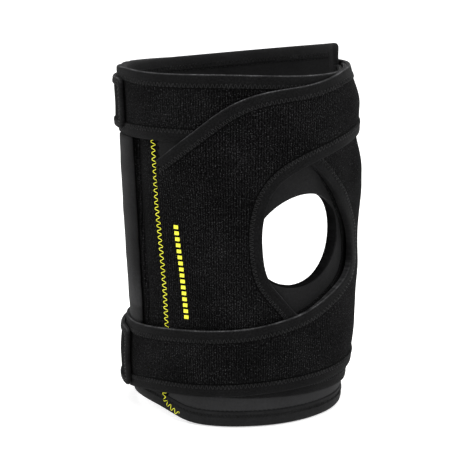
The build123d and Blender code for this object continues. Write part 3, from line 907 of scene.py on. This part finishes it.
def channel(name, node, angle, low, high, half_width, thickness):
    """A padded channel sewn over a stay, with rounded ends."""
    path = upright(angle, low, high, 3)
    section = pad_section(half_width, thickness / 2 + 0.1, thickness / 2)
    points, faces, uv = swept(path, section, lambda x, y: ripple(x, y, 37, 0.25))
    pad = joined(name, [(points, faces, uv[:, ::-1])], JERSEY)
    sewn = [lift < 0.3 * thickness for _, lift in section]
    plumped(pad, np.tile(sewn, len(path)), CHANNEL_CAP)
    bends(pad, node, slot="neoprene_jersey")


channel("lateral_stay_channel", "lateral_channel", -100.5, 66, 198, half_width=13.5, thickness=3.9)
channel("medial_stay_channel", "medial_channel", 71, 96, 166, half_width=10.5, thickness=4.9)


# Stays

STAY_ANGLES = {"lateral": -98, "medial": 71}
STAY_LEVEL = -1.75  # middle of the stays, below the outer face of the neoprene
STAY_LOW, STAY_HIGH = foot_of("lower_stay_caps"), top_of("upper_stay_caps")
COIL_PITCH, COIL_HALF_WIDTH, COIL_HALF_HEIGHT, WIRE = 4.0, 2.4, 0.42, 1.0
CAP_LENGTH, CAP_LAP = 4, 3  # length of an end cap, and how far it runs past the spiral


def spiral(angle, low, high):
    """Flattened spiral of spring wire between its two caps."""
    turns = (high - low) / COIL_PITCH
    t = np.linspace(0, turns * 2 * math.pi, round(turns * 14))
    centre = math.radians(angle) * REF_RADIUS
    line = np.stack([centre + COIL_HALF_WIDTH * np.sin(t), low + (high - low) * t / t[-1]], 1)
    rise = STAY_LEVEL + COIL_HALF_HEIGHT * np.cos(t)
    return thread_tube(line, level, rise, WIRE, 7)


def stay_caps(name, body, node, low):
    """Pressed metal caps on one end of both stays."""
    parts = []
    section = pad_section(3.4, STAY_LEVEL, 0.85, 4)
    for angle in STAY_ANGLES.values():
        path = upright(angle, low, low + CAP_LENGTH, 0.5)
        parts.append(swept(path, section, level))
    rides(joined(name, parts, STEEL), body, node, slot="spring_steel")


for side, angle in STAY_ANGLES.items():
    stay = joined(f"{side}_spiral_stay", [spiral(angle, STAY_LOW + CAP_LAP, STAY_HIGH - CAP_LAP)], STEEL)
    bends(stay, f"{side}_stay", slot="spring_steel")
stay_caps("upper_end_caps", "thigh", "upper_stay_caps", STAY_HIGH - CAP_LENGTH)
stay_caps("lower_end_caps", "calf", "lower_stay_caps", STAY_LOW)


# Lateral loop panel: a column with an upper wing that crosses over, and a lower wing that goes under

WING_END, WING_LOW, WING_HIGH = 212.5, 199, 243.5
LOWER_WING_END, LOWER_WING_LOW, LOWER_WING_HIGH = 192, 20, 67
WING_TIP, PANEL_FOOT = (-71.2, 184.5), (-71, 24)
CROSS_LOW, CROSS_HIGH = 160, 178  # heights between which the panel lifts to cross over the band
PANEL_STITCH = 6.9  # from the edge to the middle of the stitches

WING_TOP = smooth(
    [(WING_END, WING_HIGH), (170, WING_HIGH), (120, 243.8), (90, 244.2), (60, 244.5), (42, 244.6)]
    + [(28, 243.6), (14, 239.6), (3, 236.4), (-10, 234), (-22, 231), (-34, 224), (-50, 207), (-60, 196)]
    + [(-66, 189.5), WING_TIP]
)
LATERAL_EDGE = smooth(
    [WING_TIP, (-71.3, 176), (-72.4, 163), (-72.4, 150), (-71.5, 131), (-70, 98), (-70, 68), PANEL_FOOT]
)
LOWER_WING_BOTTOM = smooth(
    [PANEL_FOOT, (-40, 23), (20, 20), (53, 19), (85, 20), (140, 20), (LOWER_WING_END, LOWER_WING_LOW)]
)
C_EDGE = smooth(
    [(angle, LOWER_WING_HIGH) for angle in (LOWER_WING_END, 140, 95, 50)]
    + [(22, 69), (9, 73), (0, 79), (-5, 86), (-10, 94), (-14.6, 102), (-17.6, 111), (-19, 121)]
    + [(-19.6, 131), (-19.5, 142), (-18.2, 152), (-15.5, 163), (-9.5, 174), (0, 181.5), (17, 189)]
    + [(44, 196)]
    + [(angle, WING_LOW) for angle in (80, 120, 170, WING_END)]
)
lower_wing_end = upright(LOWER_WING_END, LOWER_WING_LOW, LOWER_WING_HIGH, 2)
wing_end = upright(WING_END, WING_LOW, WING_HIGH, 2)
LATERAL_OUTLINE = closed(WING_TOP, LATERAL_EDGE, LOWER_WING_BOTTOM, lower_wing_end, C_EDGE, wing_end)
half_panel = PANEL / 2
INNER, OUTER = 0.8 + half_panel, 3.4 + half_panel
PANEL_FACE = half_panel + TAPE + THREAD_RISE


def lateral_offset(x, y):
    """Middle of the lateral panel, which lifts to cross over the band."""
    return INNER + step_up(y, CROSS_LOW, CROSS_HIGH) * (OUTER - INNER) + ripple(x, y, 60, 0.22)


lateral_panel = sheet("lateral_loop_panel", LATERAL_OUTLINE, lateral_offset, PANEL, LOOP, step=3.4)
lateral_edges = [WING_TOP, LOWER_WING_BOTTOM, C_EDGE]
wing_end_row = upright(WING_END, WING_LOW + 1, WING_HIGH - 0.5, 2)
lateral_tape = binding(lateral_edges[:1], lateral_offset, half_panel, sink=14)
lateral_tape += binding(lateral_edges[1:], lateral_offset, half_panel)
lateral_binding = joined("lateral_panel_binding", lateral_tape, BOUND)
lateral_rows = [zigzag(edge, PANEL_STITCH, lateral_offset, PANEL_FACE) for edge in lateral_edges]
lateral_rows.append(zigzag(wing_end_row, 3, lateral_offset, half_panel + 0.25))
lateral_stitches = joined("lateral_panel_stitches", lateral_rows, BLACK_THREAD)
bends(lateral_panel, "lateral_upper_panel", "lateral_lower_panel", slot="loop_fabric")
bends(lateral_binding, "lateral_upper_binding", "lateral_lower_binding")
bends(lateral_stitches)


# Medial loop panel: the upper band goes under the wing, and the lower strap goes over everything

STRAP_END, STRAP_END_LOW, STRAP_END_HIGH = -156, 13, 63
BAND_END = -170
MEDIAL_REAR, MEDIAL_REAR_LOW, MEDIAL_REAR_HIGH = 82, 75, 225
MEDIAL_STANDOFF = 5.0 + half_panel

MEDIAL_EDGE = smooth(
    [(BAND_END, BAND_LOW), (-130, BAND_LOW), (-99, BAND_LOW - 0.5), (-61, BAND_LOW), (-40, BAND_LOW)]
    + [(-22, 198), (-6, 192), (5, 183), (11, 176.5), (17.5, 166), (25, 152), (31.5, 138.5), (35.3, 125)]
    + [(35.8, 114), (33.5, 104.5), (28, 97.5), (19, 90.5), (11, 85), (3, 80.5), (-8, 76.7), (-21, 73.3)]
    + [(-43, 70.5), (-68, 68.5), (-95, 65.5), (-112, 65), (-135, 64), (STRAP_END, STRAP_END_HIGH)]
)
STRAP_BOTTOM = smooth(
    [(STRAP_END, STRAP_END_LOW), (-135, 12.5), (-116, 13.5), (-100, 16.5), (-85, 20), (-54, 23)]
    + [(-16, 26), (19, 28), (53, 30.5), (68, 32), (76.5, 35), (81, 42), (MEDIAL_REAR, 52)]
    + [(MEDIAL_REAR, MEDIAL_REAR_LOW)]
)
MEDIAL_SIDE = upright(MEDIAL_REAR, MEDIAL_REAR_LOW, MEDIAL_REAR_HIGH, 2)
BAND_TOP = smooth(
    [(MEDIAL_REAR, MEDIAL_REAR_HIGH), (81.6, 234), (78, 241), (70, BAND_HIGH), (40, BAND_HIGH), (0, 242)]
    + [(-35, BAND_HIGH), (-80, BAND_HIGH), (-96, 244.5), (-120, BAND_HIGH), (BAND_END, BAND_HIGH)]
)
band_end = upright(BAND_END, BAND_HIGH, BAND_LOW, 2)
strap_end = upright(STRAP_END, STRAP_END_HIGH, STRAP_END_LOW, 2)
MEDIAL_OUTLINE = closed(STRAP_BOTTOM, MEDIAL_SIDE, BAND_TOP, band_end, MEDIAL_EDGE, strap_end)


def medial_offset(x, y):
    """Middle of the medial panel: low under the wing, held off by its stay, over the lower wing."""
    side = step_up(angle_of(x), 34, 52)
    standoff = MEDIAL_STANDOFF + 2.5 * side * step_up(y, 125, 160)
    lower = OUTER + (standoff - OUTER) * step_up(y, 78, 104)
    middle = lower + (INNER - standoff) * step_up(y, 158 + 12 * side, 184 + 20 * side)
    return middle + ripple(x, y, 64, 0.22)


def padded_edge(path):
    """How much thicker the panel's edge is beside the hole."""
    return 1.8 * step_up(path[:, 1], 80, 92) * (1 - step_up(path[:, 1], 168, 182))


SHADE_STRIP_SECTION = [(12.2, 0), (12.0, 0.4), (-0.7, 0.4), (-0.9, 0), (-0.7, -0.4), (12.0, -0.4)]
SHADE_STRIP_REACH = 1.6  # how far the painted-shade strip comes out beside the hole


def edge_shade_strip():
    """A strip of dark loop fabric on the base under the panel's edge beside the hole, as painted shade
    in the recess under that edge.
    """
    line = MEDIAL_EDGE[(MEDIAL_EDGE[:, 1] > 80) & (MEDIAL_EDGE[:, 1] < 180)]
    height = line[:, 1]
    reach = SHADE_STRIP_REACH * step_up(height, 82, 108) * (1 - step_up(height, 118, 160))
    line = line - inwards(line) * reach[:, None]
    return swept(line, SHADE_STRIP_SECTION, base_face)


medial_panel = sheet("medial_loop_panel", MEDIAL_OUTLINE, medial_offset, PANEL, LOOP, step=3.4)
medial_edges = [STRAP_BOTTOM, MEDIAL_SIDE, BAND_TOP, MEDIAL_EDGE]
medial_tape = binding(medial_edges[:3], medial_offset, half_panel)
medial_tape += binding(medial_edges[3:], medial_offset, half_panel, behind=padded_edge)
medial_binding = joined("medial_panel_binding", medial_tape, BOUND)
# painted shade: a dark strip of loop fabric in the shadowed recess under the medial panel's edge
medial_shade_strip = joined("medial_edge_shade_strip", [edge_shade_strip()], LOOP)
bends(medial_shade_strip, slot="loop_fabric")
medial_rows = [zigzag(edge, PANEL_STITCH, medial_offset, PANEL_FACE) for edge in medial_edges]
medial_stitches = joined("medial_panel_stitches", medial_rows, BLACK_THREAD)
bends(medial_panel, "medial_upper_panel", "medial_lower_panel", slot="loop_fabric")
bends(medial_binding, "medial_upper_binding", "medial_lower_binding", "band_binding")
bends(medial_stitches)


# Hook tabs at the ends of the lateral wings

TAB_TAPE, TAB_CORNER = 5, 6
HOOK_INSET, HOOK_THICKNESS, HOOK_CORNER = 4, 0.7, 4


def hook_tab(body, root, end, low, high, start_level, end_level, ramp, hook_start):
    """A tab of loop fabric with a hook patch behind its end, which peels from its root."""
    root_x, ramp_x = flat([(root, 0), (root + ramp, 0)])[:, 0]

    def offset(x, y):
        rise = (end_level - start_level) * step_up(x, root_x, ramp_x)
        return start_level + rise + ripple(x, y, 50, 0.15)

    def patch_offset(x, y):
        return offset(x, y) - half_panel - 0.42

    edge = rounded([(root, low), (end, low), (end, high), (root, high)], TAB_CORNER)
    outline = closed(edge, upright(root, high, low, 2))
    cloth = sheet(f"{body}_cloth", outline, offset, PANEL, LOOP)
    bound = joined(f"{body}_binding", binding([edge], offset, half_panel, TAB_TAPE), BOUND)
    sewn = joined(f"{body}_stitches", [zigzag(edge, 3.4, offset, PANEL_FACE, width=2.4)], BLACK_THREAD)
    foot, top, tip = low + HOOK_INSET, high - HOOK_INSET, end - 5
    patch_edge = rounded([(hook_start, foot), (tip, foot), (tip, top), (hook_start, top)], HOOK_CORNER)
    patch_outline = closed(patch_edge, upright(hook_start, top, foot, 2))
    patch = sheet(f"{body}_hook_patch", patch_outline, patch_offset, HOOK_THICKNESS, HOOKS)
    for piece, *nodes in ((cloth, body), (bound,), (sewn,), (patch, body.replace("tab", "hook"))):
        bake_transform(piece)
        stands_for(nodes)


hook_tab("upper_tab", -147, -97, 203, 237, OUTER, 4.0 + half_panel, ramp=10, hook_start=-124)
hook_tab("lower_tab", -168, -99.5, 17, 59, INNER, 7.0 + half_panel, ramp=9, hook_start=-128)


# Yellow zigzag seam and the row of printed bars

SEAM_LINE = smooth(
    [(-75.2, 200), (-75, 184), (-74, 165), (-72, 131), (-70.5, 98), (-70, 68), (-73.5, 24), (-74.8, 15)]
    + [(-71.5, 10.5), (-65, 6)],
    0.5,
)
BARS_LINE = [(-57.5, 78), (-59.5, 111), (-62, 142)]
BAR_COUNT, BAR_FOOT, BAR_PITCH = 16, 78.5, 4.15
BAR_HALF_WIDTH, BAR_HALF_HEIGHT, BAR_LIFT = 1.65, 1.3, 0.26


def seam_offset(x, y):
    """The face that the seam is sewn through: the edge of the lateral panel, and the base below it."""
    on_panel = lateral_offset(x, y) + half_panel - 0.5
    return on_panel + (0.2 - on_panel) * (1 - step_up(y, 24, 32) + step_up(y, 148, 176))


def lateral_face(x, y):
    """Outer face of the lateral panel."""
    return lateral_offset(x, y) + half_panel


def print_bars():
    """A row of bars along the seam."""
    line = flat(BARS_LINE)
    face = [(BAR_HALF_HEIGHT, 0.0), (BAR_HALF_HEIGHT, 0.12), (BAR_HALF_HEIGHT - 0.2, BAR_LIFT)]
    section = face + [(-inset, lift) for inset, lift in reversed(face)]
    parts = []
    for height in BAR_FOOT + BAR_PITCH * np.arange(BAR_COUNT):
        centre = np.array([np.interp(height, line[:, 1], line[:, 0]), height])
        across = resampled(centre + np.array([(-BAR_HALF_WIDTH, 0), (BAR_HALF_WIDTH, 0)]), 0.65)
        parts.append(swept(across, section, lateral_face))
    return parts


seam = zigzag(SEAM_LINE, 0, seam_offset, 0.6, width=3.6, pitch=4.1, thickness=0.5)
yellow_seam = joined("yellow_zigzag_seam", [seam], YELLOW_THREAD)
bends(yellow_seam, "yellow_seam", slot="yellow_thread")
yellow_bars = joined("yellow_bars", print_bars(), PRINT)
bends(yellow_bars, "printed_bars", slot="yellow_print")


# Studio

FLOOR_HALF = 20  # metres
PAPER_TONE, PAPER_GLOW, SKY_STRENGTH = 0.86, 0.5, 1.0


def paper_floor():
    """A wide sheet of pale paper under the brace."""
    mesh = bpy.data.meshes.new("floor")
    f = FLOOR_HALF
    mesh.from_pydata([(-f, -f, 0), (f, -f, 0), (f, f, 0), (-f, f, 0)], [], [(0, 1, 2, 3)])
    paper = bpy.data.materials.new("pale_paper")
    paper.use_nodes = True
    surface = paper.node_tree.nodes["Principled BSDF"].inputs
    surface["Base Color"].default_value = (*[PAPER_TONE] * 3, 1)
    surface["Roughness"].default_value = 0.9
    surface["Emission Color"].default_value = (1, 1, 1, 1)
    surface["Emission Strength"].default_value = PAPER_GLOW
    mesh.materials.append(paper)
    floor = bpy.data.objects.new("floor", mesh)
    bpy.context.scene.collection.objects.link(floor)


def aimed(data, azimuth, elevation, distance, height):
    """An object that looks at the brace's axis from a place in degrees, azimuth 0 being the front."""
    a, e = math.radians(azimuth), math.radians(elevation)
    away = Vector((math.sin(a) * math.cos(e), -math.cos(a) * math.cos(e), math.sin(e)))
    item = bpy.data.objects.new(data.name, data)
    item.location = Vector((0, 0, height)) + away * distance
    item.rotation_mode = "QUATERNION"
    item.rotation_quaternion = (-away).to_track_quat("-Z", "Y")
    bpy.context.scene.collection.objects.link(item)
    return item


def softbox(name, azimuth, elevation, distance, size, power):
    """A square area light aimed at the knee."""
    light = bpy.data.lights.new(name, "AREA")
    light.size, light.energy = size, power
    aimed(light, azimuth, elevation, distance, KNEE * MM)


paper_floor()
world = bpy.data.worlds.new("studio")
world.use_nodes = True
sky = world.node_tree.nodes["Background"].inputs
sky["Color"].default_value = (1, 1, 1, 1)
sky["Strength"].default_value = SKY_STRENGTH
bpy.context.scene.world = world
bpy.context.scene.view_settings.view_transform = "Standard"

softbox("overhead", -20, 72, distance=1.4, size=0.9, power=9)
softbox("right", 62, 22, distance=1.5, size=0.8, power=6)
softbox("left", -118, 25, distance=1.5, size=0.7, power=4.5)

lens = bpy.data.cameras.new("camera")
lens.sensor_width, lens.lens, lens.clip_start = 36, 102.9114, 0.05
bpy.context.scene.camera = aimed(lens, azimuth=-31.5, elevation=11.7, distance=0.982, height=0.1195)
